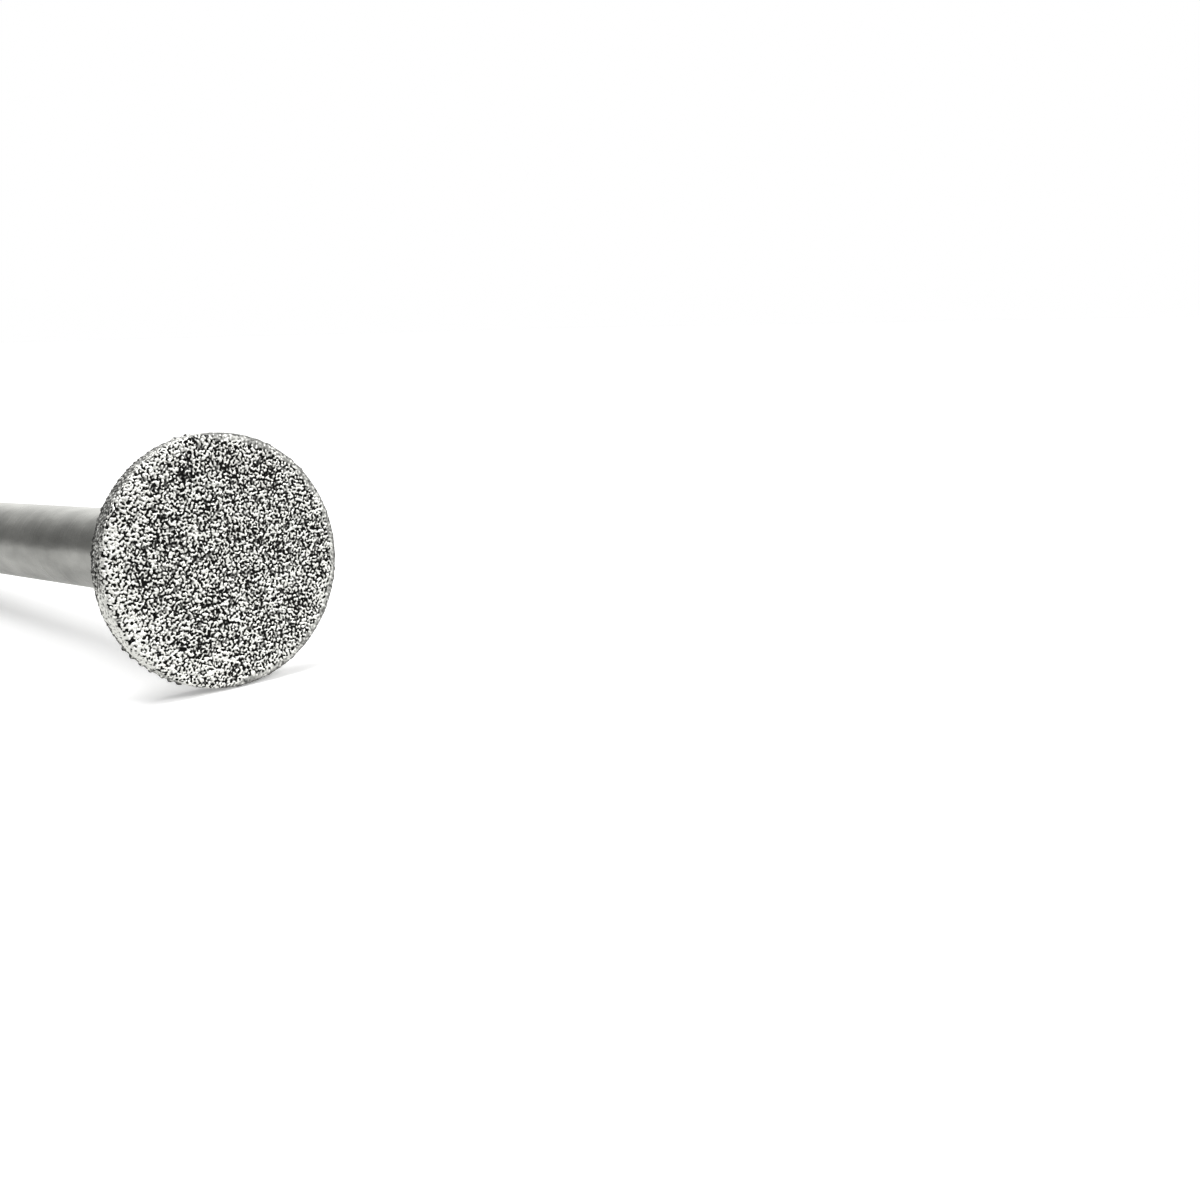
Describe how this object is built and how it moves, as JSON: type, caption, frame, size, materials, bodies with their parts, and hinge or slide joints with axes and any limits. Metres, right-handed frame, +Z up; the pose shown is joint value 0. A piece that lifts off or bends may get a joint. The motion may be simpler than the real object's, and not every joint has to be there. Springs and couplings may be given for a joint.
{
  "type": "diamond burr",
  "caption": "Rotary diamond burr: thin flat disc head coated with diamond grit on a plain straight steel shank, lying at rest.",
  "frame": {"origin": "centre of the base of the bounding box, on the surface that the burr lies on", "axes": "+Z up; the shank lies along +Y and dips about 3 degrees towards its free end; the head's coated face looks along -Y; X across"},
  "size_m": [0.0082, 0.0444, 0.0082],
  "materials": {
    "steel": "ground steel shank, satin, with faint marks along it",
    "diamond_grit": "diamond grains in matt nickel plating, rough and glinting"
  },
  "bodies": {
    "root": {"steel_blank": "steel", "diamond_coating": "diamond_grit"}
  },
  "joints": []
}
